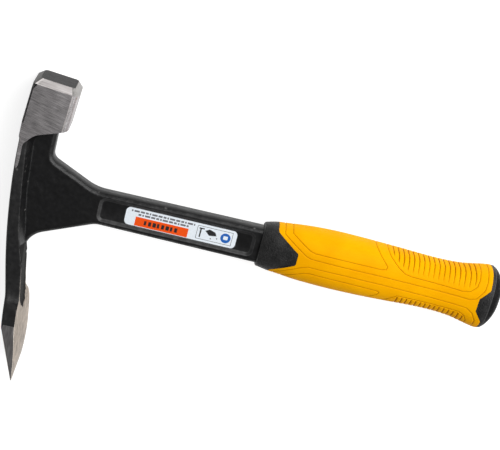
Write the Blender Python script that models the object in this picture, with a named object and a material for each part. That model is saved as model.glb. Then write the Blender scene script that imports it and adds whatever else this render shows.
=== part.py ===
"""Brick hammer: one forged steel head and shaft, a two-colour moulded grip and a shaft label.

The design frame has X along the handle from the head to the butt, Y along the head towards the
striking face and Z out of the side that faces up when the hammer lies on a bench. The finished
assembly hangs from one empty, which lays it down on its blade corner, its poll and its butt.
"""
import math

import bmesh
import bpy
from mathutils import Matrix, Vector

MM = 0.001
GAP = 0.3                      # clearance between neighbouring pieces

# Head bar, seen from the side: a crown arc, then a straight run, then the bevel to the edge.
CROWN_X = -12.9                # furthest point of the crown
CROWN_Y = 27.0
CROWN_RADIUS = 400.0
FLARE_Y = -61.0                # end of the arc, where the blade widens
BEVEL_Y = -76.0                # start of the cutting bevel
TIP_Y = -109.5
TIP_X = 10.4
STRAIGHT_SLOPE = 0.11
TIP_THICKNESS = 0.6
BAR_HALF = 11.2                # half thickness of the head bar
BLADE_HALF = 19.05             # half width of the 38 mm blade
RIM_CORNER = 1.2

# Stations along the head bar: y, rim line x, wall foot x, half width, half width at the foot.
HEAD_STATIONS = (
    (58.0, -8.5, -5.0, 11.6, 4.5),
    (36.0, -8.3, -5.0, 11.8, 4.5),
    (28.0, -7.9, -4.6, 11.5, 4.5),
    (14.0, -6.8, -3.9, BAR_HALF, 4.5),
    (0.0, -5.6, -2.9, BAR_HALF, 4.5),
    (-9.0, -4.6, -1.6, BAR_HALF, 4.5),
    (-18.0, -3.4, 0.0, BAR_HALF, 4.5),
    (-26.0, -2.1, 1.4, BAR_HALF, 5.2),
    (-33.0, 0.0, 2.0, BAR_HALF, 8.0),
    (-38.0, 1.5, 2.5, BAR_HALF, 10.2),
    (-45.0, 2.8, 3.6, BAR_HALF, 10.4),
    (-53.0, 3.9, 4.5, 11.5, 10.9),
    (-59.0, 4.7, 5.3, 12.3, 11.8),
    (-63.0, 5.3, 5.9, 14.0, 13.4),
    (-66.5, 5.9, 6.5, 17.2, 16.6),
    (-71.0, 6.5, 7.1, 18.5, 17.9),
    (-76.0, 7.2, 7.8, BLADE_HALF, 18.5),
    (-84.0, 8.4, 8.9, BLADE_HALF, 18.6),
    (-93.0, 9.6, 10.0, BLADE_HALF, 18.7),
    (-102.0, 10.4, 10.7, BLADE_HALF, 18.8),
    (TIP_Y, 10.8, 11.0, BLADE_HALF, 18.9),
)

# Poll: a square block that leans a little towards the handle.
POLL_SIZE = 25.4
POLL_CORNER = 2.4
POLL_FACE = 19.3
POLL_CHAMFER = 3.3
POLL_BASE_Y = 40.0
POLL_FACE_Y = 66.3
POLL_FACE_X = 1.7
POLL_LEAN = math.radians(4.6)
UNDERSIDE_SLOPE = 0.356        # the poll's underside rises towards the handle
UNDERSIDE_X = 7.8              # where the sloping underside meets the base's height

# Web and shaft: one plate with rounded edges.
PLATE_HALF = 5.5
PLATE_ROUND = 2.2
NECK_X = 7.0
SHAFT_HALF_AT_WEB = 10.1
SHAFT_HALF_AT_GRIP = 10.9
WEB_TOP_Y = 22.2
WEB_BOTTOM_Y = -25.3
WEB_END_X = 34.0
WEB_BOTTOM_END_X = 37.6
POCKET_START = 38.2
POCKET_END = 126.5
POCKET_HALF = 6.3
POCKET_CORNER = 2.8
POCKET_DEPTH = 1.2

# Tang inside the grip.
SHOULDER_X = 137.0
TANG_END = 250.0
TANG_HALF = 7.0
TANG_END_HALF = 5.5
TANG_THICK = 3.5

# Grip outline stations: x, upper edge y, lower edge y, half thickness.
GRIP_STATIONS = (
    (130.5, 12.9, -12.7, 8.0),
    (134.0, 13.8, -13.2, 9.2),
    (138.0, 14.6, -13.8, 10.2),
    (145.0, 15.3, -14.3, 11.4),
    (152.0, 16.0, -15.0, 12.3),
    (160.0, 16.6, -15.4, 13.0),
    (172.0, 17.0, -15.7, 13.7),
    (184.0, 16.9, -15.7, 13.8),
    (196.0, 16.6, -15.5, 13.5),
    (210.0, 16.2, -15.0, 12.9),
    (224.0, 15.6, -14.4, 12.4),
    (236.0, 15.4, -14.4, 12.3),
    (246.0, 15.9, -15.2, 12.8),
    (253.0, 17.0, -16.6, 13.6),
    (258.6, 18.1, -17.8, 14.3),
    (263.0, 18.6, -18.3, 14.8),
    (266.0, 18.0, -17.2, 14.6),
    (268.6, 15.8, -13.4, 13.2),
    (270.4, 12.6, -8.8, 10.8),
    (271.5, 8.0, -4.2, 7.0),
)
GRIP_POWER = 2.5               # superellipse power of the grip's section
GRIP_SIDES = 40
COVER_WALL = 3.0
COVER_START = 138.5
COVER_END = 263.2
TONGUE_LENGTH = 13.6
TONGUE_HALF_ROOT = 11.2
TONGUE_HALF_TIP = 2.6
BUTT_TONGUE = 4.4

LABEL_START = 52.8
LABEL_END = 116.8
LABEL_HALF = 5.3
LABEL_CORNER = 2.6
LABEL_THICK = 0.2
ARC_STEPS = 6


def clear_scene():
    for item in list(bpy.data.objects):
        bpy.data.objects.remove(item, do_unlink=True)


def make_material(name, color, roughness, metallic):
    material = bpy.data.materials.new(name)
    material.use_nodes = True
    shader = material.node_tree.nodes["Principled BSDF"]
    shader.inputs["Base Color"].default_value = (*color, 1.0)
    shader.inputs["Roughness"].default_value = roughness
    shader.inputs["Metallic"].default_value = metallic
    return material


def add_object(name, mesh_data, parent):
    item = bpy.data.objects.new(name, mesh_data)
    bpy.context.scene.collection.objects.link(item)
    item.parent = parent
    return item


def hide_tool(item):
    """A cutter or a piece that only feeds a union."""
    item.hide_render = True
    item.display_type = 'WIRE'


def loft(name, rings, parent, smooth_angle=30.0):
    """One closed solid through rings of the same point count, given in millimetres."""
    shape = bmesh.new()
    rows = [[shape.verts.new(Vector(point) * MM) for point in ring] for ring in rings]
    count = len(rings[0])
    for lower, upper in zip(rows, rows[1:]):
        for i in range(count):
            j = (i + 1) % count
            shape.faces.new((lower[i], lower[j], upper[j], upper[i]))
    shape.faces.new(list(reversed(rows[0])))
    shape.faces.new(rows[-1])
    bmesh.ops.recalc_face_normals(shape, faces=shape.faces)
    bmesh.ops.triangulate(shape, faces=shape.faces)
    mesh_data = bpy.data.meshes.new(name)
    shape.to_mesh(mesh_data)
    shape.free()
    mesh_data.shade_smooth()
    mesh_data.set_sharp_from_angle(angle=math.radians(smooth_angle))
    return add_object(name, mesh_data, parent)


def combine(target, other, operation):
    """Joins or cuts with a Boolean modifier and hides the other solid."""
    modifier = target.modifiers.new(operation.title(), 'BOOLEAN')
    modifier.operation = operation
    modifier.solver = 'EXACT'
    modifier.object = other
    hide_tool(other)


def round_corners(corners):
    """Outline from (x, y, radius) corners, each rounded by an arc."""
    outline = []
    count = len(corners)
    for i, (x, y, radius) in enumerate(corners):
        here = Vector((x, y))
        if radius == 0:
            outline.append(here)
            continue
        before = (Vector(corners[i - 1][:2]) - here).normalized()
        after = (Vector(corners[(i + 1) % count][:2]) - here).normalized()
        half_angle = before.angle(after) / 2
        start = here + before * (radius / math.tan(half_angle))
        end = here + after * (radius / math.tan(half_angle))
        centre = here + (before + after).normalized() * (radius / math.sin(half_angle))
        turn = (start - centre).angle_signed(end - centre)
        for step in range(ARC_STEPS + 1):
            arm = (start - centre).copy()
            arm.rotate(Matrix.Rotation(-turn * step / ARC_STEPS, 2))
            outline.append(centre + arm)
    return outline


def inset(outline, distance):
    """Moves a counter-clockwise outline inwards along its mitred corner normals."""
    moved = []
    count = len(outline)
    for i, point in enumerate(outline):
        before = (point - outline[i - 1]).normalized()
        after = (outline[(i + 1) % count] - point).normalized()
        normal = Vector((-before.y - after.y, before.x + after.x)).normalized()
        stretch = max(normal.dot(Vector((-after.y, after.x))), 0.5)
        moved.append(point + normal * (distance / stretch))
    return moved


def slab(name, outline, layers, parent):
    """Solid from one outline, with (z, inset) layers from bottom to top."""
    rings = [[(p.x, p.y, z) for p in inset(outline, edge)] for z, edge in layers]
    return loft(name, rings, parent)


def crown_x(y):
    """Outer surface of the head at one station along Y."""
    arc_end = CROWN_X + (FLARE_Y - CROWN_Y) ** 2 / (2 * CROWN_RADIUS)
    bevel_start = arc_end + (FLARE_Y - BEVEL_Y) * STRAIGHT_SLOPE
    if y >= FLARE_Y:
        return CROWN_X + (y - CROWN_Y) ** 2 / (2 * CROWN_RADIUS)
    if y >= BEVEL_Y:
        return arc_end + (FLARE_Y - y) * STRAIGHT_SLOPE
    share = (BEVEL_Y - y) / (BEVEL_Y - TIP_Y)
    return bevel_start + (TIP_X - bevel_start) * share


def head_ring(y, rim_x, foot_x, half, foot_half):
    """Section of the head bar in the XZ plane."""
    outer = crown_x(y)
    corner = min(RIM_CORNER, (rim_x - outer) * 0.4)
    upper = [
        (foot_x, foot_half),
        (rim_x, half),
        (outer + corner, half),
        (outer, half - corner),
    ]
    lower = [(x, -z) for x, z in reversed(upper)]
    return [(x, y, z) for x, z in upper + lower]


def poll_ring(along, half, corner):
    """Square section of the poll, a distance along its leaning axis from the face."""
    sides = ((1, 1), (-1, 1), (-1, -1), (1, -1))
    ring = []
    for sign_u, sign_z in sides:
        points = []
        for step in range(4):
            angle = math.radians(30 * step)
            points.append((
                sign_u * (half - corner + corner * math.cos(angle)),
                sign_z * (half - corner + corner * math.sin(angle)),
            ))
        if sign_u * sign_z < 0:
            points.reverse()
        ring.extend(points)
    across = Vector((math.cos(POLL_LEAN), -math.sin(POLL_LEAN), 0))
    axis = Vector((math.sin(POLL_LEAN), math.cos(POLL_LEAN), 0))
    face = Vector((POLL_FACE_X, POLL_FACE_Y, 0))
    return [face - axis * along + across * u + Vector((0, 0, z)) for u, z in ring]


def build_head(parent):
    """Head bar with its blade, and the poll joined to it."""
    stations = list(reversed(HEAD_STATIONS))
    bar = loft('forged_body', [head_ring(*station) for station in stations], parent)
    length = (POLL_FACE_Y - POLL_BASE_Y) / math.cos(POLL_LEAN)
    half = POLL_SIZE / 2
    underside = poll_ring(length, half, POLL_CORNER)
    for point in underside:
        point.y = POLL_BASE_Y + (point.x - UNDERSIDE_X) * UNDERSIDE_SLOPE
    poll = loft('poll_block', [
        underside,
        poll_ring(POLL_CHAMFER, half, POLL_CORNER),
        poll_ring(0.0, POLL_FACE / 2, POLL_CORNER / 2),
    ], parent)
    combine(bar, poll, 'UNION')
    return bar


def plate_outline():
    """Web and shaft seen from the side, counter-clockwise."""
    return round_corners((
        (-7.0, 46.0, 0),
        (-7.0, -31.0, 0),
        (0.8, -40.0, 0),
        (2.6, WEB_BOTTOM_Y, 14.0),
        (WEB_BOTTOM_END_X, -SHAFT_HALF_AT_WEB, 12.0),
        (SHOULDER_X, -SHAFT_HALF_AT_GRIP, 0),
        (SHOULDER_X, SHAFT_HALF_AT_GRIP, 0),
        (WEB_END_X, SHAFT_HALF_AT_WEB, 25.0),
        (NECK_X, WEB_TOP_Y, 5.0),
        (NECK_X, 46.0, 0),
    ))


def rounded_rectangle(start, end, half, corner):
    return round_corners((
        (start, -half, corner),
        (end, -half, corner),
        (end, half, corner),
        (start, half, corner),
    ))


def build_forging(parent):
    """The one steel piece: head, web, shaft with its side pockets, and tang."""
    body = build_head(parent)
    edge = PLATE_ROUND
    plate = slab('plate', plate_outline(), (
        (-PLATE_HALF, edge),
        (-PLATE_HALF + edge * 0.3, edge * 0.3),
        (-PLATE_HALF + edge, 0),
        (PLATE_HALF - edge, 0),
        (PLATE_HALF - edge * 0.3, edge * 0.3),
        (PLATE_HALF, edge),
    ), parent)
    combine(body, plate, 'UNION')
    tang = slab('tang', [
        Vector((SHOULDER_X - 4, -TANG_HALF)),
        Vector((TANG_END, -TANG_END_HALF)),
        Vector((TANG_END, TANG_END_HALF)),
        Vector((SHOULDER_X - 4, TANG_HALF)),
    ], ((-TANG_THICK, 0), (TANG_THICK, 0)), parent)
    combine(body, tang, 'UNION')
    pocket = rounded_rectangle(POCKET_START, POCKET_END, POCKET_HALF, POCKET_CORNER)
    floor = PLATE_HALF - POCKET_DEPTH
    for side in (1, -1):
        layers = [(side * floor, 0.5), (side * (PLATE_HALF + 1), -0.4)]
        cutter = slab('pocket_cutter', pocket, sorted(layers), parent)
        combine(body, cutter, 'DIFFERENCE')
    return body


def grip_ring(x, top, bottom, half_thick, shrink=0.0):
    """Superellipse section of the grip, shrunk evenly by a wall thickness."""
    middle = (top + bottom) / 2
    half_high = (top - bottom) / 2 - shrink
    half_wide = half_thick - shrink
    ring = []
    for i in range(GRIP_SIDES):
        angle = 2 * math.pi * i / GRIP_SIDES
        cos_a = math.cos(angle)
        sin_a = math.sin(angle)
        power = 2 / GRIP_POWER
        y = middle + half_high * math.copysign(abs(cos_a) ** power, cos_a)
        z = half_wide * math.copysign(abs(sin_a) ** power, sin_a)
        ring.append((x, y, z))
    return ring


def grip_solid(name, parent, shrink=0.0, start=None, end=None):
    """Loft of the grip between two stations; outside them the end section is repeated."""
    rows = []
    first = GRIP_STATIONS[0][0] if start is None else start
    last = GRIP_STATIONS[-1][0] if end is None else end
    inside = [row for row in GRIP_STATIONS if first < row[0] < last]
    for row in [station_at(first)] + inside + [station_at(last)]:
        rows.append(grip_ring(*row, shrink=shrink))
    return loft(name, rows, parent, smooth_angle=40.0)


def station_at(x):
    """Grip outline at any x, read between the stations."""
    stations = GRIP_STATIONS
    for left, right in zip(stations, stations[1:]):
        if left[0] <= x <= right[0]:
            share = (x - left[0]) / (right[0] - left[0])
            return tuple(a + (b - a) * share for a, b in zip(left, right))
    return stations[-1]


def collar_zone(name, grow, parent):
    """Region of the grip that the black collar and its pointed tongue fill."""
    tip = COVER_START + TONGUE_LENGTH + grow
    outline = [
        Vector((120.0, -30.0)),
        Vector((COVER_START + grow, -30.0)),
        Vector((COVER_START + grow, -TONGUE_HALF_ROOT - grow)),
        Vector((tip, -TONGUE_HALF_TIP - grow)),
        Vector((tip, TONGUE_HALF_TIP + grow)),
        Vector((COVER_START + grow, TONGUE_HALF_ROOT + grow)),
        Vector((COVER_START + grow, 30.0)),
        Vector((120.0, 30.0)),
    ]
    return slab(name, outline, ((-30.0, 0), (30.0, 0)), parent)


def butt_zone(name, grow, parent):
    """Region of the grip that the black butt and its short tongue fill."""
    edge = COVER_END - grow
    tip = edge - BUTT_TONGUE
    outline = [
        Vector((280.0, -30.0)),
        Vector((280.0, 30.0)),
        Vector((edge, 30.0)),
        Vector((edge, 8.2 + grow)),
        Vector((tip, 2.8 + grow)),
        Vector((tip, -4.6 - grow)),
        Vector((edge, -10.4 - grow)),
        Vector((edge, -30.0)),
    ]
    return slab(name, outline, ((-30.0, 0), (30.0, 0)), parent)


def build_core(parent):
    """Black inner moulding: sleeve on the tang, collar with tongue, and butt."""
    core = grip_solid('grip_core', parent, COVER_WALL + GAP, 134.0, 266.0)
    for name, zone in (('collar', collar_zone), ('butt', butt_zone)):
        skin = grip_solid(name + '_skin', parent)
        region = zone(name + '_region', 0.0, parent)
        combine(skin, region, 'INTERSECT')
        combine(core, skin, 'UNION')
    socket = slab('shaft_socket', [
        Vector((120.0, -SHAFT_HALF_AT_GRIP - GAP)),
        Vector((SHOULDER_X + GAP, -SHAFT_HALF_AT_GRIP - GAP)),
        Vector((SHOULDER_X + GAP, SHAFT_HALF_AT_GRIP + GAP)),
        Vector((120.0, SHAFT_HALF_AT_GRIP + GAP)),
    ], ((-PLATE_HALF - GAP, 0), (PLATE_HALF + GAP, 0)), parent)
    combine(core, socket, 'DIFFERENCE')
    slot = slab('tang_slot', [
        Vector((SHOULDER_X - 3, -TANG_HALF - GAP)),
        Vector((TANG_END + GAP, -TANG_END_HALF - GAP)),
        Vector((TANG_END + GAP, TANG_END_HALF + GAP)),
        Vector((SHOULDER_X - 3, TANG_HALF + GAP)),
    ], ((-TANG_THICK - GAP, 0), (TANG_THICK + GAP, 0)), parent)
    combine(core, slot, 'DIFFERENCE')
    return core


def build_cover(parent):
    """Yellow outer moulding: a sleeve notched for the black collar and butt tongues."""
    cover = grip_solid('grip_cover', parent)
    bore = grip_solid('cover_bore', parent, COVER_WALL, 130.5, 270.0)
    combine(cover, bore, 'DIFFERENCE')
    combine(cover, collar_zone('collar_notch', GAP, parent), 'DIFFERENCE')
    combine(cover, butt_zone('butt_notch', GAP, parent), 'DIFFERENCE')
    return cover


def build_label(parent):
    """Printed film on the floor of the upper shaft pocket."""
    floor = PLATE_HALF - POCKET_DEPTH + GAP
    outline = rounded_rectangle(LABEL_START, LABEL_END, LABEL_HALF, LABEL_CORNER)
    return slab('shaft_label', outline, ((floor, 0), (floor + LABEL_THICK, 0)), parent)


def rest_rotation():
    """Rotation that brings the three points the hammer lies on into one level plane."""
    blade = Vector((7.2, BEVEL_Y, -BLADE_HALF))
    poll = Vector((11.0, POLL_FACE_Y - POLL_CHAMFER, -POLL_SIZE / 2))
    butt = Vector((263.0, 0.0, -14.8))
    normal = (butt - blade).cross(poll - blade).normalized()
    return normal.rotation_difference(Vector((0, 0, 1))).to_matrix().to_4x4()


def lay_down(root, pieces):
    """Turns the hammer into its lying pose and centres its box on the floor origin."""
    root.matrix_world = rest_rotation()
    bpy.context.view_layer.update()
    graph = bpy.context.evaluated_depsgraph_get()
    points = []
    for piece in pieces:
        solid = piece.evaluated_get(graph)
        points.extend(solid.matrix_world @ vertex.co for vertex in solid.data.vertices)
    low = [min(point[axis] for point in points) for axis in range(3)]
    high = [max(point[axis] for point in points) for axis in range(3)]
    offset = Vector((-(low[0] + high[0]) / 2, -(low[1] + high[1]) / 2, -low[2]))
    root.matrix_world = Matrix.Translation(offset) @ rest_rotation()


def build():
    clear_scene()
    root = bpy.data.objects.new('hammer_root', None)
    bpy.context.scene.collection.objects.link(root)
    steel = make_material('painted_steel', (0.035, 0.036, 0.04), 0.45, 0.3)
    black = make_material('black_moulding', (0.03, 0.031, 0.033), 0.6, 0.0)
    yellow = make_material('yellow_moulding', (0.9, 0.5, 0.02), 0.55, 0.0)
    film = make_material('label_film', (0.85, 0.86, 0.9), 0.35, 0.0)
    pieces = []
    for maker, material in (
        (build_forging, steel),
        (build_core, black),
        (build_cover, yellow),
        (build_label, film),
    ):
        piece = maker(root)
        piece.data.materials.append(material)
        pieces.append(piece)
    lay_down(root, pieces)


build()
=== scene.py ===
"""Looks of the brick hammer: fine meshes, procedural materials, light and camera.

The pieces are modelled in the hammer's own design frame, in millimetres: X along the handle from
the head to the butt, Y along the head towards the striking face, Z out of the labelled side.
One matrix, PLACE, lays them on the floor where the CAD nodes lie.
"""

import math

import bmesh
import bpy
import numpy as np
from mathutils import Matrix, Vector


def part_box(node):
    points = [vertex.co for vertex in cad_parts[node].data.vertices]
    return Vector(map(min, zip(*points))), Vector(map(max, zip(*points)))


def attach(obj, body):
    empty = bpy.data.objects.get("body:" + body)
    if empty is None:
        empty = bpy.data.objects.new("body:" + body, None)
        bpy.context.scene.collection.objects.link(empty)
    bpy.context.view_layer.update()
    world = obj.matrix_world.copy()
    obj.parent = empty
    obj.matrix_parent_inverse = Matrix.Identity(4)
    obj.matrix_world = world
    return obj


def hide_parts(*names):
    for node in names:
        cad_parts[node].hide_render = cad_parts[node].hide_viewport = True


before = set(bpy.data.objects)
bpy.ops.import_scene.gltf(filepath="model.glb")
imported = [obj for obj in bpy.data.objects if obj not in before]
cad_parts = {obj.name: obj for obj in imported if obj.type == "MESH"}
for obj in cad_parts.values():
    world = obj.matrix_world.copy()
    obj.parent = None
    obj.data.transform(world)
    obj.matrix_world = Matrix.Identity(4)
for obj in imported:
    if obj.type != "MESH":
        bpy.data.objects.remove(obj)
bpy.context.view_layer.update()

MM = 0.001

# Head bar: crown arc, straight run and cutting bevel, as in the CAD model.
CROWN_X = -12.9
CROWN_Y = 27.0
CROWN_RADIUS = 400.0
FLARE_Y = -61.0
BEVEL_Y = -76.0
TIP_Y = -109.5
TIP_X = 10.4
TIP_THICKNESS = 0.6
STRAIGHT_SLOPE = 0.11
BLADE_HALF = 19.05

# Poll.
POLL_HALF = 12.7
POLL_CORNER = 3.4
POLL_CROWN_CORNER = 1.1
POLL_TOP_CORNER = 2.8
POLL_FACE_CORNER = 1.8
POLL_FACE_HALF = 9.65
POLL_CHAMFER = 3.3
POLL_BASE_Y = 40.0
POLL_FACE_X = 1.7
POLL_FACE_Y = 66.3
POLL_LEAN = math.radians(4.6)
UNDERSIDE_SLOPE = 0.356
UNDERSIDE_X = 7.8
POLL_BURR = 0.4
POLL_CROWN_END = 3.0           # how far below the chamfer the crown side's sharp corner ends
TIP_GAP = 0.05                 # keeps the finished tip just inside the CAD box
BLADE_EDGE_WIDTH = 0.28

# Web, shaft and pocket.
PLATE_HALF = 5.5
PLATE_RIM = ((0.0, 2.6), (0.12, 2.25), (0.5, 1.7), (0.95, 1.05), (1.4, 0.6), (2.2, 0.25), (3.4, 0.0))
NECK_X = 7.0
SHAFT_HALF_AT_WEB = 10.1
SHAFT_HALF_AT_GRIP = 10.9
SHOULDER_X = 137.0
POCKET_START = 38.2
POCKET_END = 126.5
POCKET_HALF = 6.3
POCKET_CORNER = 2.8
POCKET_DEPTH = 1.2
POCKET_PROFILE = (
    (0.0, 1.0), (0.1, 0.62), (0.3, 0.36), (0.85, -0.3), (1.08, -0.6), (1.19, -0.95), (1.3, -1.6),
)

# Grip.
GRIP_POWER = 2.5
COVER_WALL = 3.0
COLLAR_START = 130.5
LIP = 0.55
COVER_START = 138.5
COVER_END = 263.2
SEAM = 0.06

# Label.
LABEL_START = 52.8
LABEL_END = 116.8
LABEL_DATUM_X = 84.8
LABEL_HALF = 5.3
LABEL_CORNER = 2.6


# ---------------------------------------------------------------- placing

def rest_rotation():
    """Rotation that brings the three points the hammer lies on into one level plane."""
    blade = Vector((7.2, BEVEL_Y, -BLADE_HALF))
    poll = Vector((11.0, POLL_FACE_Y - POLL_CHAMFER, -POLL_HALF))
    butt = Vector((263.0, 0.0, -14.8))
    normal = (butt - blade).cross(poll - blade).normalized()
    return normal.rotation_difference(Vector((0, 0, 1))).to_matrix().to_4x4()


def placing():
    """Design frame, in millimetres times MM, to the row frame. The CAD label's box is the datum."""
    low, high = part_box("shaft_label")
    floor = PLATE_HALF - POCKET_DEPTH + 0.3
    centre = Vector((LABEL_DATUM_X, 0.0, floor + 0.1)) * MM
    turn = rest_rotation()
    return Matrix.Translation((low + high) / 2 - turn @ centre) @ turn


PLACE = placing()


# ---------------------------------------------------------------- mesh helpers

def object_from_mesh(name, mesh_data):
    item = bpy.data.objects.new(name, mesh_data)
    bpy.context.scene.collection.objects.link(item)
    return item


def mesh_object(name, points, faces, slots=None, materials=()):
    """Mesh from points in millimetres; slots gives each face's material slot."""
    mesh_data = bpy.data.meshes.new(name)
    mesh_data.from_pydata([tuple(c * MM for c in p) for p in points], [], faces)
    for material in materials:
        mesh_data.materials.append(material)
    if slots is not None:
        mesh_data.polygons.foreach_set("material_index", slots)
    mesh_data.update()
    return object_from_mesh(name, mesh_data)


def fix_normals(item):
    shape = bmesh.new()
    shape.from_mesh(item.data)
    bmesh.ops.recalc_face_normals(shape, faces=shape.faces)
    shape.to_mesh(item.data)
    shape.free()


def loft(name, rings, materials, slot_of=None):
    """Closed solid through rings of equal count; slot_of(band, side) gives a face's slot."""
    count = len(rings[0])
    points = [tuple(p) for ring in rings for p in ring]
    faces = []
    slots = []
    for band in range(len(rings) - 1):
        base = band * count
        for i in range(count):
            j = (i + 1) % count
            faces.append((base + i, base + j, base + count + j, base + count + i))
            slots.append(slot_of(band, i) if slot_of else 0)
    last = (len(rings) - 1) * count
    faces.append(tuple(reversed(range(count))))
    faces.append(tuple(range(last, last + count)))
    slots += [slot_of(-1, 0), slot_of(len(rings), 0)] if slot_of else [0, 0]
    item = mesh_object(name, points, faces, slots, materials)
    fix_normals(item)
    return item


def bake_modifiers(item):
    """Replaces the mesh by its evaluated self, with no modifiers left."""
    graph = bpy.context.evaluated_depsgraph_get()
    result = bpy.data.meshes.new_from_object(item.evaluated_get(graph), depsgraph=graph)
    item.modifiers.clear()
    item.data = result


def combine(item, other, operation, keep=False):
    """Boolean with the other solid, applied at once. Faces keep their material slots."""
    modifier = item.modifiers.new("Combine", 'BOOLEAN')
    modifier.operation = operation
    modifier.solver = 'EXACT'
    modifier.material_mode = 'INDEX'
    modifier.object = other
    bake_modifiers(item)
    if not keep:
        bpy.data.objects.remove(other, do_unlink=True)


def set_sharp(item, degrees):
    item.data.shade_smooth()
    item.data.set_sharp_from_angle(angle=math.radians(degrees))


def curve_through(stations, x):
    """Smooth row of values at x, through stations (x, values...) in rising x order."""
    xs = [row[0] for row in stations]
    x = min(max(x, xs[0]), xs[-1])
    i = min(max(int(np.searchsorted(xs, x)) - 1, 0), len(xs) - 2)
    rows = [stations[min(max(k, 0), len(xs) - 1)] for k in (i - 1, i, i + 1, i + 2)]
    width = rows[2][0] - rows[1][0]
    t = (x - rows[1][0]) / width
    values = []
    for column in range(1, len(rows[0])):
        p = [row[column] for row in rows]
        span_before = max(rows[2][0] - rows[0][0], 1e-6)
        span_after = max(rows[3][0] - rows[1][0], 1e-6)
        slope_before = (p[2] - p[0]) / span_before * width
        slope_after = (p[3] - p[1]) / span_after * width
        values.append(
            p[1] * (2 * t ** 3 - 3 * t ** 2 + 1)
            + slope_before * (t ** 3 - 2 * t ** 2 + t)
            + p[2] * (3 * t ** 2 - 2 * t ** 3)
            + slope_after * (t ** 3 - t ** 2)
        )
    return values


def round_corners(corners, steps=8):
    """Outline from (x, y, radius) corners, each rounded by an arc."""
    outline = []
    count = len(corners)
    for i, (x, y, radius) in enumerate(corners):
        here = Vector((x, y))
        if radius == 0:
            outline.append(here)
            continue
        before = (Vector(corners[i - 1][:2]) - here).normalized()
        after = (Vector(corners[(i + 1) % count][:2]) - here).normalized()
        half_angle = before.angle(after) / 2
        start = here + before * (radius / math.tan(half_angle))
        end = here + after * (radius / math.tan(half_angle))
        centre = here + (before + after).normalized() * (radius / math.sin(half_angle))
        turn = (start - centre).angle_signed(end - centre)
        for step in range(steps + 1):
            arm = (start - centre).copy()
            arm.rotate(Matrix.Rotation(-turn * step / steps, 2))
            outline.append(centre + arm)
    return outline


def inset(outline, distance):
    """Moves a counter-clockwise outline inwards along its mitred corner normals."""
    moved = []
    count = len(outline)
    for i, point in enumerate(outline):
        before = (point - outline[i - 1]).normalized()
        after = (outline[(i + 1) % count] - point).normalized()
        normal = Vector((-before.y - after.y, before.x + after.x)).normalized()
        stretch = max(normal.dot(Vector((-after.y, after.x))), 0.5)
        moved.append(point + normal * (distance / stretch))
    return moved


def slab(name, outline, layers, materials, slot_of=None):
    """Solid from one outline, with (z, inset) layers from bottom to top."""
    rings = [[(p.x, p.y, z) for p in inset(outline, edge)] for z, edge in layers]
    return loft(name, rings, materials, slot_of)


def plate_layers(half):
    """(z, inset) layers of a plate whose two rims follow PLATE_RIM: a facet, then a steep side."""
    lower = [(-half + depth, edge) for depth, edge in PLATE_RIM]
    upper = [(half - depth, edge) for depth, edge in reversed(PLATE_RIM)]
    return lower + upper


def rounded_rectangle(start, end, half, corner, steps=8):
    return round_corners((
        (start, -half, corner),
        (end, -half, corner),
        (end, half, corner),
        (start, half, corner),
    ), steps)


# ---------------------------------------------------------------- forging

# Materials of the forging, by slot.
(PAINT, POLL_SIDE, NEAR_CHAMFER, SIDE_CHAMFER, FACE, POLL_END,
 BLADE_INNER, BLADE_SIDE, BLADE_BEVEL, BLADE_EDGE_HIGHLIGHT, SCALE, HEAD_PAINT,
 WALL_PAINTED_HIGHLIGHT, WORN_EDGE) = range(14)

# y, rim line x, wall foot x, half width at crown, at the rim line and at the foot.
HEAD_STATIONS = (
    (-113.0, 12.4, 12.9, 19.6, 19.6, 19.4),
    (-93.0, 10.4, 10.9, 19.6, 19.6, 19.4),
    (-84.0, 9.3, 9.8, 19.5, 19.5, 19.3),
    (-79.0, 8.5, 9.0, 19.3, 19.3, 19.1),
    (-76.0, 8.1, 8.6, 19.05, 19.05, 18.9),
    (-72.5, 7.6, 8.0, 18.4, 18.85, 18.6),
    (-69.0, 6.8, 7.3, 17.3, 18.6, 18.3),
    (-67.0, 6.4, 6.9, 16.4, 18.3, 18.0),
    (-65.6, 6.2, 6.7, 15.6, 17.3, 17.0),
    (-64.2, 5.9, 6.4, 14.7, 14.9, 14.6),
    (-62.5, 5.6, 6.1, 13.6, 13.1, 12.8),
    (-59.5, 5.0, 5.5, 12.3, 12.3, 12.0),
    (-55.0, 4.4, 4.9, 11.5, 11.8, 11.5),
    (-50.0, 3.7, 4.2, 11.1, 11.4, 11.1),
    (-45.0, 3.0, 3.6, 11.1, 11.3, 10.9),
    (-42.0, 2.4, 3.0, 11.1, 11.2, 10.6),
    (-39.0, 1.8, 2.5, 11.1, 11.2, 9.6),
    (-35.0, 0.9, 1.9, 11.1, 11.2, 6.8),
    (-30.0, -0.6, 1.4, 11.2, 11.2, 4.9),
    (-24.0, -2.2, 1.0, 11.3, 11.2, 4.4),
    (-18.0, -3.3, 0.2, 11.4, 11.2, 4.3),
    (-9.0, -4.5, -1.4, 11.6, 11.2, 4.2),
    (0.0, -5.5, -2.7, 12.0, 11.3, 4.2),
    (8.0, -6.3, -3.3, 12.5, 11.5, 4.2),
    (14.0, -6.8, -3.6, 12.8, 11.8, 4.2),
    (18.5, -7.2, -3.9, 13.15, 12.1, 4.2),
    (24.0, -7.6, -4.2, 13.2, 12.2, 4.2),
    (28.0, -8.0, -4.4, 13.2, 12.3, 4.2),
    (31.0, -8.0, -4.2, 13.2, 12.65, 4.2),
    (33.0, -7.2, -3.4, 13.3, 13.1, 4.2),
    (34.5, -5.8, -2.2, 13.4, 13.2, 4.2),
    (35.6, -4.2, -0.8, 13.4, 13.2, 4.2),
    (37.0, -0.8, 2.0, 13.4, 13.2, 4.2),
    (38.3, 3.0, 5.4, 13.4, 13.2, 4.2),
    (40.2, 8.0, 9.6, 13.2, 13.2, 4.2),
    (58.0, 8.0, 9.6, 12.9, 12.9, 4.2),
)

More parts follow.
